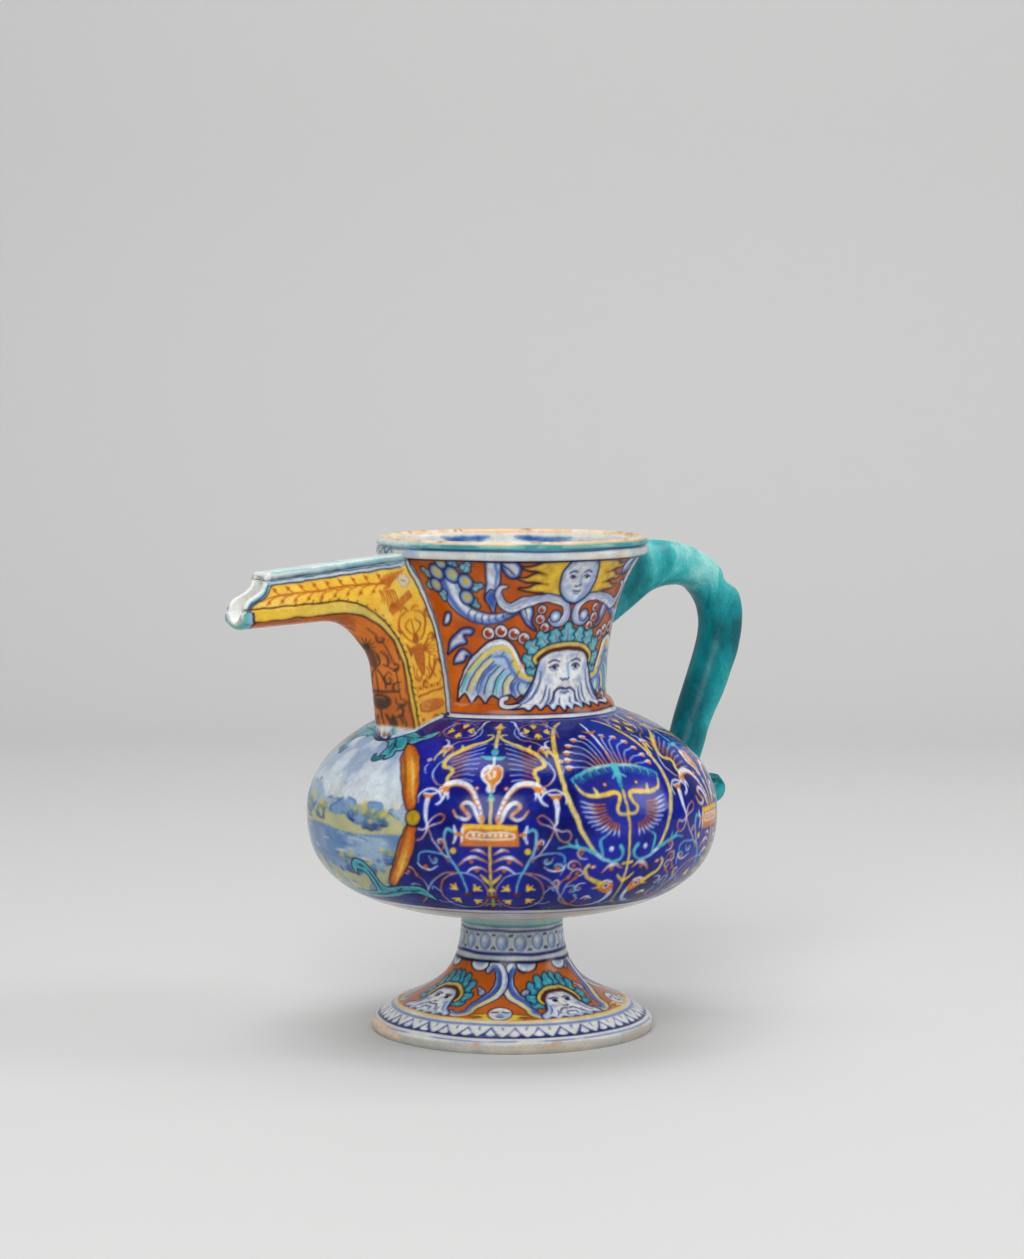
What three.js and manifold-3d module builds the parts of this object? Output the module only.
// Maiolica ewer: a tin-glazed earthenware jug on a pedestal foot, with a square slab-built
// spout and a pulled handle. Each clay part that was thrown, cut or pulled by itself is one
// mesh, set against its neighbours with a thin luting gap.
// Millimetres, +Z up. The spout points along -X and the handle along +X.

import * as THREE from 'three';
import { mergeVertices } from 'three/addons/utils/BufferGeometryUtils.js';
import Module from 'manifold-3d';

const wasm = await Module();
wasm.setup();

// Driving dimensions

const lutingGap = 0.3;          // space left where two clay parts meet
const weldReach = 1e-4;         // corners nearer than this are one corner
const turns = 40;               // facets round the thrown parts
const bellySteps = 11;          // facets up each half of the belly's outside
const bellyInnerSteps = 9;      // and of its inside
const neckSteps = 9;            // facets up the neck's outside
const neckInnerSteps = 8;       // and its inside
const lipSteps = 5;             // facets over the lip's rounding
const coneSteps = 9;            // facets up the foot's cone
const coilSteps = 5;            // facets over a luting coil
const bendSteps = 9;            // facets along the spout's bend
const frontSteps = 8;           // facets across the spout's rounded front
const mouthSteps = 12;          // facets along the cut of the spout's mouth
const holeSides = 20;           // facets round the spout's hole

// Foot: heights are above the table
const footRadius = 62;          // widest ring of the flange
const footEdgeHeight = 5;       // upright edge of the flange
const footEdgeTaper = 1;        // how far that edge draws in at the table
const footEdgeRound = 0.7;      // and at its top
const restRingWidth = 8;        // flat ring that stands on the table
const treadRadius = 50.3;       // where the cone meets the flange
const treadHeight = 12.3;
const coneKneeRadius = 31;      // pull of the cone's curve towards the flange
const coneKneeHeight = 20;
const stemRadius = 22.3;
const stemFlareHeight = 25;     // below this the stem swings out into the cone
const footHeight = 51.45;
const footWall = 5;

// Belly
const bellyRadius = 89.8;
const bellyLowerRise = 45.95;   // from the belly's underside to its widest ring
const bellyUpperRise = 49.95;   // from the widest ring to where the shoulder would close
const lowerFullness = 2.66;     // 2 is an ellipse, more is squarer
const upperFullness = 2.04;
const bellyWall = 5;

// Luting coils
const footCollarHeight = 3.9;   // down the stem
const footCollarReach = 4.7;    // out along the belly's underside
const footCollarLip = 0.9;      // thickness at its lower edge
const footCollarEdge = 1;       // height of its outer edge
const neckCollarHeight = 4.2;   // up the neck
const neckCollarReach = 3.4;    // out along the shoulder

// Neck
const neckRadius = 41.3;        // at the shoulder
const neckFlareRadius = 56.6;   // under the raised band
const neckFlare = 2.8;          // power of the flare
const neckWall = 5;
const neckHeight = 74.2;        // from the shoulder to the top of the lip
const lipRadius = 59.5;
const lipThickness = 6.4;
const lipDepth = 2.6;           // straight side of the lip below its rounding
const bandRadius = 59;
const bandHeight = 4.2;
const bandSlope = 0.8;          // the band's edges are sloped by this height
const grooveHeight = 1;         // between the band and the lip
const grooveRadius = 58.2;

// Spout: distances out are from the vessel's axis, drops are below the top of the lip
const spoutLipOut = 136.8;      // lower lip of the mouth
const spoutLipDrop = 32.8;
const throatOut = 134.4;        // where the mouth's cut turns
const throatDrop = 23.5;
const spoutTopOut = 125;        // upper edge of the mouth
const spoutTopDrop = 12.2;
const mouthStep = 2.3;          // the cut first falls steeply, out by this
const mouthFall = 7;            // and down by this
const mouthLipStep = 0.4;       // the cut's last stretch stands in from the lip by this
const spoutTopSlope = 0.089;    // the top rises towards the neck
const spoutUnderSlope = 0.05;   // so does the underside
const spoutBendRadius = 28;
const spoutRootOut = 58.3;      // arris of the front slab at the shoulder
const spoutRootLean = 0.135;    // outwards lean of the front slab, per unit of height
const spoutTopWidth = 12.2;     // across the outside, at the mouth's upper edge
const spoutSpread = 0.115;      // each cheek leans out by this per unit of height
const cheekThickness = 3;
const frontThickness = 4.5;
const frontRunBulge = 3;        // rounding of the front slab across its width, along the run
const frontFallBulge = 9;       // and from the middle of the bend down to the shoulder
const topThickness = 3;
const spoutHoleRadius = 6.5;
const rootFilletReach = 1.8;    // luting coil round the spout's root

// Handle: its side view lies between an outer and an inner edge. The grip's points are in from
// the handle's reach and below the top of the lip, from the neck over the knuckle and down.
const handleReach = 121.8;      // from the vessel's axis
const gripOuterEdge = [
  [59.8, 4.4], [45.8, 5.3], [31.8, 7.2], [18.8, 11.8], [10.3, 18.8], [7, 23.6], [2.2, 29.3],
  [0, 38.8], [1, 48.8], [4.4, 60.8], [10.2, 74.3],
];
const gripInnerEdge = [
  [61.8, 35.8], [49.8, 27.6], [37.8, 25.1], [28.8, 26.4], [23.3, 30.3], [20.8, 34], [19.2, 38.2],
  [18.4, 43.8], [19, 49.3], [21.2, 56.3], [25.6, 67.7],
];
const webTopDrop = 3.8;         // top of the web that joins the neck
const webDepth = 47;
const handleTopWidth = 17.5;    // across, at the neck
const handleTailWidth = 15;     // across, on the belly
const handleSquareness = 2.5;   // 2 is an oval, more is a rounded square
const handleSides = 14;
const handleSteps = 28;

// Tail and curl: points are out from and above the belly's widest ring
const tailOuterEdge = [[14.8, 30.9], [9.4, 19.8]];
const tailInnerEdge = [[0.6, 36.7], [-4.2, 23.3]];
const tailEnd = 12.3;           // height of the joint between the handle and its curl
const tailThickness = 6.6;      // how far the handle's end stands out from the widest ring
const tailBite = 9.8;           // how far its inner edge would reach into the belly
const curlOuterEdge = [[8.2, 7.1], [11.8, 3.9], [15.2, 3.3], [17.2, 3.9], [17.6, 4.5], [17, 5.1]];
const curlInnerEdge = [[-7.8, 2.3], [0.2, -4.3], [13.2, -5.4], [22.2, -3.5], [24.2, 1.3], [19.7, 6.9]];
const curlTipWidth = 12.5;
const curlSteps = 14;

// Sizes that follow from the ones above

const bellyBottom = footHeight + lutingGap;
const bellyWidest = bellyBottom + bellyLowerRise;
const neckBase = bellyHeight(neckRadius) + lutingGap;
const rimHeight = neckBase + neckHeight;
const lipFoot = rimHeight - lipThickness / 2;
const bandFoot = lipFoot - grooveHeight - bandHeight;
const spoutLipHeight = rimHeight - spoutLipDrop;
const throatHeight = rimHeight - throatDrop;
const spoutTopHeight = rimHeight - spoutTopDrop;
const spoutRootHeight = bellyHeight(spoutRootOut);
const spoutHoleOut = (neckRadius + spoutRootOut) / 2;
const spoutEnd = -neckRadius / 2;   // the spout's slabs are drawn to here and cut by the neck
const reach = 4 * (spoutLipOut + rimHeight);

// Geometry helpers

// One closed, indexed mesh: shared corners are merged and flat triangles dropped.
function weld(geometry) {
  const bare = geometry.clone();
  for (const name of Object.keys(bare.attributes)) {
    if (name !== 'position') bare.deleteAttribute(name);
  }
  const merged = mergeVertices(bare, weldReach);
  const corners = merged.index.array;
  const kept = [];
  for (let i = 0; i < corners.length; i += 3) {
    const [a, b, c] = corners.slice(i, i + 3);
    if (a !== b && b !== c && c !== a) kept.push(a, b, c);
  }
  merged.setIndex(kept);
  return merged;
}

function toSolid(geometry) {
  const mesh = weld(geometry);
  return new wasm.Manifold(new wasm.Mesh({
    numProp: 3,
    vertProperties: new Float32Array(mesh.attributes.position.array),
    triVerts: new Uint32Array(mesh.index.array),
  }));
}

function toGeometry(solid) {
  const mesh = solid.getMesh();
  const geometry = new THREE.BufferGeometry();
  geometry.setAttribute('position', new THREE.BufferAttribute(mesh.vertProperties, 3));
  geometry.setIndex(new THREE.BufferAttribute(mesh.triVerts, 1));
  return geometry;
}

// Turns a profile of [radius, height] points about the vessel's axis.
function turned(profile) {
  const points = profile.map(([radius, height]) => new THREE.Vector2(radius, height));
  return weld(new THREE.LatheGeometry(points, turns).rotateX(Math.PI / 2));
}

// Extrudes a side view of [x, z] points across the vessel, from y = from to y = to.
function acrossY(outline, from, to) {
  const shape = new THREE.Shape(outline.map(([x, z]) => new THREE.Vector2(x, z)));
  const geometry = new THREE.ExtrudeGeometry(shape, { depth: to - from, bevelEnabled: false });
  return geometry.rotateX(Math.PI / 2).translate(0, to, 0);
}

// Extrudes an end view of [y, z] points along the vessel, from x = from to x = to.
function alongX(outline, from, to) {
  const shape = new THREE.Shape(outline.map(([y, z]) => new THREE.Vector2(y, z)));
  const geometry = new THREE.ExtrudeGeometry(shape, { depth: to - from, bevelEnabled: false });
  return geometry.rotateX(Math.PI / 2).rotateZ(Math.PI / 2).translate(from, 0, 0);
}

// Skins a row of rings with the same number of points and caps both ends.
function loft(rings) {
  const sides = rings[0].length;
  const middle = (ring) => ring.reduce((sum, p) => sum.add(p), new THREE.Vector3()).divideScalar(sides);
  const points = [...rings.flat(), middle(rings[0]), middle(rings.at(-1))];
  const index = [];
  const startCap = rings.length * sides;
  const endCap = startCap + 1;
  for (let i = 0; i < sides; i++) {
    const next = (i + 1) % sides;
    const last = (rings.length - 1) * sides;
    for (let row = 0; row < last; row += sides) {
      index.push(row + i, row + next, row + sides + next);
      index.push(row + i, row + sides + next, row + sides + i);
    }
    index.push(startCap, next, i);
    index.push(endCap, last + i, last + next);
  }
  const geometry = new THREE.BufferGeometry().setFromPoints(points);
  geometry.setIndex(index);
  return geometry;
}

function bezier(start, pullA, pullB, end, steps) {
  const corners = [start, pullA, pullB, end].map(([x, y]) => new THREE.Vector2(x, y));
  return new THREE.CubicBezierCurve(...corners).getPoints(steps).map((p) => [p.x, p.y]);
}

function spline(points, steps) {
  const curve = new THREE.SplineCurve(points.map(([x, y]) => new THREE.Vector2(x, y)));
  return curve.getPoints(steps).map((p) => [p.x, p.y]);
}

const ramp = (steps) => Array.from({ length: steps + 1 }, (_, i) => i / steps);

// Outlines that several pieces share

// Height of the shoulder's outside at a radius.
function bellyHeight(radius, grow = 0) {
  const share = (radius / (bellyRadius + grow)) ** upperFullness;
  return bellyWidest + (bellyUpperRise + grow) * (1 - share) ** (1 / upperFullness);
}

// Height of the belly's underside at a radius.
function bellyUnderside(radius) {
  const share = (radius / bellyRadius) ** lowerFullness;
  return bellyWidest - bellyLowerRise * (1 - share) ** (1 / lowerFullness);
}

// The belly's curve from its bottom on the axis up to a radius on the shoulder.
function bellyCurve(grow, topRadius, steps) {
  const low = ramp(steps).map((t) => {
    const turn = (t * Math.PI) / 2;
    return [
      (bellyRadius + grow) * Math.sin(turn) ** (2 / lowerFullness),
      bellyWidest - (bellyLowerRise + grow) * Math.cos(turn) ** (2 / lowerFullness),
    ];
  });
  const topTurn = Math.acos((topRadius / (bellyRadius + grow)) ** (upperFullness / 2));
  const high = ramp(steps).slice(1).map((t) => {
    const turn = t * topTurn;
    return [
      (bellyRadius + grow) * Math.cos(turn) ** (2 / upperFullness),
      bellyWidest + (bellyUpperRise + grow) * Math.sin(turn) ** (2 / upperFullness),
    ];
  });
  return [...low, ...high];
}

function neckOutside(height) {
  const share = Math.max(0, (height - neckBase) / (bandFoot - neckBase));
  return neckRadius + (neckFlareRadius - neckRadius) * share ** neckFlare;
}

function neckCurve(grow, steps) {
  return ramp(steps).map((t) => {
    const height = neckBase + t * (bandFoot - neckBase);
    return [neckOutside(height) + grow, height];
  });
}

// Half of the spout's outside width at a height.
function spoutHalf(height) {
  return spoutTopWidth / 2 + spoutSpread * (spoutTopHeight - height);
}

// Solids that cut other pieces to fit against the belly, the neck and the spout

function bellyFilled(grow) {
  const curve = bellyCurve(grow, neckRadius, bellySteps);
  return toSolid(turned([...curve, [0, curve.at(-1)[1]]]));
}

function neckFilled(grow) {
  const curve = neckCurve(grow, neckSteps);
  const band = bandOutline().map(([radius, height]) => [radius + grow, height]);
  const top = rimHeight + grow;
  const foot = bellyWidest;
  return toSolid(turned([[0, foot], [neckRadius + grow, foot], ...curve, ...band,
    [lipRadius + grow, top], [0, top]]));
}

// The space between the two leaning cheeks, drawn in by an inset on each side.
function cheekWedge(inset) {
  const half = (height) => spoutHalf(height) - inset;
  const low = bellyWidest;
  const high = rimHeight;
  const outline = [[-half(low), low], [half(low), low], [half(high), high], [-half(high), high]];
  return toSolid(alongX(outline, -reach, 0));
}

// Foot

function footGeometry() {
  const cone = (wall, drop) => bezier(
    [treadRadius - wall, treadHeight - drop], [coneKneeRadius - wall, coneKneeHeight - drop],
    [stemRadius - wall, stemFlareHeight], [stemRadius - wall, footHeight], coneSteps,
  );
  const restOuter = footRadius - footEdgeTaper;
  const restInner = restOuter - restRingWidth;
  const outside = [
    [restInner, 0], [restOuter, 0], [footRadius, footEdgeHeight / 2],
    [footRadius - footEdgeRound, footEdgeHeight], ...cone(0, 0),
  ];
  const inside = cone(footWall, footWall).reverse();
  return turned([...outside, ...inside, outside[0]]);
}

function footCollarGeometry() {
  const inner = stemRadius + lutingGap;
  const outer = inner + footCollarReach;
  const low = footHeight - footCollarHeight;
  const under = (radius) => bellyUnderside(radius) - lutingGap;
  const edge = under(outer) - footCollarEdge;
  const hollow = bezier([inner + footCollarLip, low], [inner + footCollarLip, edge],
    [inner + footCollarLip, edge], [outer, edge], coilSteps);
  return turned([[inner, low], ...hollow, [outer, under(outer)], [inner, under(inner)], [inner, low]]);
}

// Belly

function bodyGeometry() {
  const outside = bellyCurve(0, neckRadius, bellySteps);
  const inside = bellyCurve(-bellyWall, neckRadius - neckWall, bellyInnerSteps).reverse();
  const land = outside.at(-1)[1];
  const shell = toSolid(turned([...outside, [neckRadius - neckWall, land], ...inside]));
  const drill = new THREE.CylinderGeometry(spoutHoleRadius, spoutHoleRadius, bellyUpperRise, holeSides);
  drill.rotateX(Math.PI / 2).translate(-spoutHoleOut, 0, land);
  return toGeometry(shell.subtract(toSolid(drill)));
}

function neckCollarGeometry() {
  const inner = neckRadius + lutingGap;
  const outer = inner + neckCollarReach;
  const seat = (radius) => bellyHeight(radius, lutingGap);
  const top = neckBase + neckCollarHeight;
  const round = bezier([outer, seat(outer)], [outer, seat(outer) + neckCollarHeight / 2],
    [outer - neckCollarReach / 2, top], [inner, top], coilSteps);
  const ring = toSolid(turned([[inner, seat(inner)], ...round, [inner, seat(inner)]]));
  return toGeometry(ring.subtract(spoutFilled(rootFilletReach + 2 * lutingGap)));
}

// Neck

// Raised band, groove and foot of the lip, from below.
function bandOutline() {
  const bandTop = bandFoot + bandHeight;
  return [
    [bandRadius, bandFoot + bandSlope], [bandRadius, bandTop - bandSlope],
    [grooveRadius, bandTop], [lipRadius, lipFoot],
  ];
}

function neckGeometry() {
  const middle = lipRadius - lipThickness / 2;
  const lip = ramp(lipSteps).slice(1).map((t) => [
    middle + (lipThickness / 2) * Math.cos(t * Math.PI),
    lipFoot + (lipThickness / 2) * Math.sin(t * Math.PI),
  ]);
  const inside = neckCurve(-neckWall, neckInnerSteps).reverse();
  const throat = [[lipRadius - lipThickness, lipFoot - lipDepth]];
  const outline = [...neckCurve(0, neckSteps), ...bandOutline(), ...lip, ...throat, ...inside];
  return turned([...outline, outline[0]]);
}

// Spout

// The arris along the spout's underside, from the mouth's lower lip down to the shoulder,
// moved into the channel by an inset: a straight run, an arc and a straight run.
function underCurve(inset, arcSteps) {
  const runAngle = Math.atan(spoutUnderSlope);
  const fallAngle = -Math.PI / 2 + Math.atan(spoutRootLean);
  const fallOut = (height) => spoutRootOut + spoutRootLean * (height - spoutRootHeight);
  const cornerHeight = spoutLipHeight + (spoutUnderSlope * (spoutLipOut - fallOut(spoutLipHeight)))
    / (1 + spoutUnderSlope * spoutRootLean);
  const turn = runAngle - fallAngle;
  const backOff = spoutBendRadius * Math.tan(turn / 2);
  const startX = -fallOut(cornerHeight) - backOff * Math.cos(runAngle);
  const startZ = cornerHeight - backOff * Math.sin(runAngle);
  const centreX = startX + spoutBendRadius * Math.sin(runAngle);
  const centreZ = startZ - spoutBendRadius * Math.cos(runAngle);
  const radius = spoutBendRadius + inset;
  const arc = ramp(arcSteps).map((t) => {
    const angle = runAngle + Math.PI / 2 - t * turn;
    return [centreX + radius * Math.cos(angle), centreZ + radius * Math.sin(angle)];
  });
  const lip = [-spoutLipOut - inset * Math.sin(runAngle), spoutLipHeight + inset * Math.cos(runAngle)];
  const rootHeight = bellyWidest;
  const root = [-fallOut(rootHeight) + inset, rootHeight];
  return [lip, ...arc, root];
}

const spoutTopLine = (x) => spoutTopHeight + spoutTopSlope * (x + spoutTopOut);

// Side view of the whole spout. It runs on into the neck, which later cuts it.
function spoutSide() {
  const under = underCurve(0, bendSteps);
  const mouth = spline([
    [-spoutTopOut, spoutTopHeight],
    [-spoutTopOut - mouthStep, spoutTopHeight - mouthFall],
    [-throatOut, throatHeight],
    [-spoutLipOut + mouthLipStep, throatHeight - mouthFall / 2],
    under[0],
  ], mouthSteps);
  const outline = [...under, [spoutEnd, bellyWidest], [spoutEnd, spoutTopLine(spoutEnd)],
    ...mouth.slice(0, -1)];
  return toSolid(acrossY(outline, -reach, reach));
}

// Side view of what lies above the front slab and below the top slab.
function spoutChannel() {
  const under = underCurve(frontThickness + lutingGap, bendSteps);
  const drop = topThickness + lutingGap;
  const past = -spoutLipOut - frontThickness;
  const pastUnder = [past, under[0][1] + spoutUnderSlope * (past - under[0][0])];
  const outline = [pastUnder, ...under.slice(1), [spoutEnd, bellyWidest],
    [spoutEnd, spoutTopLine(spoutEnd) - drop], [past, spoutTopLine(past) - drop]];
  return toSolid(acrossY(outline, -reach, reach));
}

// The whole spout without its channel, grown on every side.
function spoutFilled(grow) {
  const under = underCurve(-grow, bendSteps);
  const outline = [...under, [spoutEnd, bellyWidest], [spoutEnd, rimHeight], [under[0][0], rimHeight]];
  const box = toSolid(acrossY(outline, -reach, reach)).intersect(cheekWedge(-grow));
  return box.add(toSolid(frontLoft(grow, frontThickness + frontFallBulge)));
}

function fitToVessel(solid) {
  return solid.subtract(bellyFilled(lutingGap)).subtract(neckFilled(lutingGap));
}

function cheekGeometry(side) {
  const half = toSolid(new THREE.BoxGeometry(reach, reach, reach).translate(0, (side * reach) / 2, 0));
  const shell = cheekWedge(0).subtract(cheekWedge(cheekThickness)).intersect(half);
  return toGeometry(fitToVessel(spoutSide().intersect(spoutChannel()).intersect(shell)));
}

function spoutTopGeometry() {
  const past = -spoutLipOut;
  const outline = [
    [past, spoutTopLine(past) - topThickness], [spoutEnd, spoutTopLine(spoutEnd) - topThickness],
    [spoutEnd, rimHeight], [past, rimHeight],
  ];
  const slab = toSolid(acrossY(outline, -reach, reach)).intersect(spoutSide()).intersect(cheekWedge(0));
  return toGeometry(fitToVessel(slab));
}

// Rounding of the front slab at one ring of its loft: it grows over the first half of the bend.
function frontBulge(ring) {
  const share = Math.min(1, Math.max(0, (2 * (ring - 1)) / bendSteps));
  return frontRunBulge + (frontFallBulge - frontRunBulge) * Math.sin((Math.PI / 2) * share);
}

// The front slab is rounded across its width. Each ring is its section at one step along the
// underside: the outside from arris to arris, then the inside back again.
function frontLoft(grow, thickness) {
  const outer = underCurve(0, bendSteps);
  const inner = underCurve(1, bendSteps);
  const point = (i, share, depth) => {
    const [x, z] = outer[i];
    const offset = depth - frontBulge(i) * (1 - share * share);
    const height = z + (inner[i][1] - z) * offset;
    const across = (spoutHalf(Math.max(height, spoutRootHeight)) + grow) * share;
    return new THREE.Vector3(x + (inner[i][0] - x) * offset, across, height);
  };
  const shares = ramp(frontSteps).map((t) => 2 * t - 1);
  return loft(outer.map((_, i) => [
    ...shares.map((share) => point(i, share, -grow)),
    ...shares.toReversed().map((share) => point(i, share, thickness)),
  ]));
}

function spoutFrontGeometry() {
  return toGeometry(fitToVessel(toSolid(frontLoft(0, frontThickness))));
}

function rootFilletGeometry() {
  const sleeve = spoutFilled(rootFilletReach).subtract(spoutFilled(lutingGap));
  const coil = sleeve.intersect(bellyFilled(rootFilletReach)).subtract(bellyFilled(lutingGap));
  return toGeometry(coil.subtract(neckFilled(lutingGap)));
}

// Handle and its rolled tail

// Rings between an outer and an inner edge, rounded squares across the vessel.
function strapRings(outerEdge, innerEdge, widthAt, steps) {
  const outer = spline(outerEdge, steps);
  const inner = spline(innerEdge, steps);
  const rounded = (value) => Math.sign(value) * Math.abs(value) ** (2 / handleSquareness);
  return outer.map(([x, z], i) => ramp(handleSides).slice(1).map((t) => {
    const angle = 2 * Math.PI * t;
    const share = (1 + rounded(Math.cos(angle))) / 2;
    const across = (widthAt(i / steps) / 2) * rounded(Math.sin(angle));
    return new THREE.Vector3(x + (inner[i][0] - x) * share, across, z + (inner[i][1] - z) * share);
  }));
}

const fromGrip = ([inwards, down]) => [handleReach - inwards, rimHeight - down];
const fromBelly = ([out, up]) => [bellyRadius + out, bellyWidest + up];

function handleGeometry() {
  const root = neckRadius - neckWall / 2;
  const webTop = rimHeight - webTopDrop;
  const outer = [[root, webTop], ...gripOuterEdge.map(fromGrip),
    ...[...tailOuterEdge, [tailThickness, tailEnd]].map(fromBelly)];
  const inner = [[root, webTop - webDepth], ...gripInnerEdge.map(fromGrip),
    ...[...tailInnerEdge, [-tailBite, tailEnd]].map(fromBelly)];
  const width = (t) => handleTopWidth + (handleTailWidth - handleTopWidth) * t;
  return toGeometry(fitToVessel(toSolid(loft(strapRings(outer, inner, width, handleSteps)))));
}

function handleCurlGeometry() {
  const start = tailEnd - lutingGap;
  const outer = [[tailThickness, start], ...curlOuterEdge].map(fromBelly);
  const inner = [[-tailBite, start], ...curlInnerEdge].map(fromBelly);
  const width = (t) => handleTailWidth + (curlTipWidth - handleTailWidth) * t;
  return toGeometry(fitToVessel(toSolid(loft(strapRings(outer, inner, width, curlSteps)))));
}

// Scene graph

const glaze = (color, roughness) => new THREE.MeshStandardMaterial({ color, roughness, metalness: 0 });

const pieces = [
  ['foot', footGeometry(), glaze(0xd9a05a, 0.25)],
  ['foot_collar', footCollarGeometry(), glaze(0xbfd8cf, 0.25)],
  ['body', bodyGeometry(), glaze(0x1b2a8c, 0.2)],
  ['neck_collar', neckCollarGeometry(), glaze(0xe8e6e0, 0.25)],
  ['neck', neckGeometry(), glaze(0xc05f1e, 0.25)],
  ['spout_front', spoutFrontGeometry(), glaze(0xb0642a, 0.25)],
  ['spout_near_cheek', cheekGeometry(-1), glaze(0xe0b548, 0.25)],
  ['spout_far_cheek', cheekGeometry(1), glaze(0xe0b548, 0.25)],
  ['spout_top', spoutTopGeometry(), glaze(0xcfe3dc, 0.25)],
  ['spout_root_fillet', rootFilletGeometry(), glaze(0xe8e6e0, 0.25)],
  ['handle', handleGeometry(), glaze(0x1fa6a0, 0.2)],
  ['handle_curl', handleCurlGeometry(), glaze(0x1fa6a0, 0.2)],
];

const ewer = new THREE.Group();
for (const [name, geometry, material] of pieces) {
  const mesh = new THREE.Mesh(geometry, material);
  mesh.name = name;
  ewer.add(mesh);
}

// The origin is on the table, under the middle of the whole ewer.
const box = new THREE.Box3().setFromObject(ewer);
ewer.position.x = -(box.min.x + box.max.x) / 2;

export default ewer;
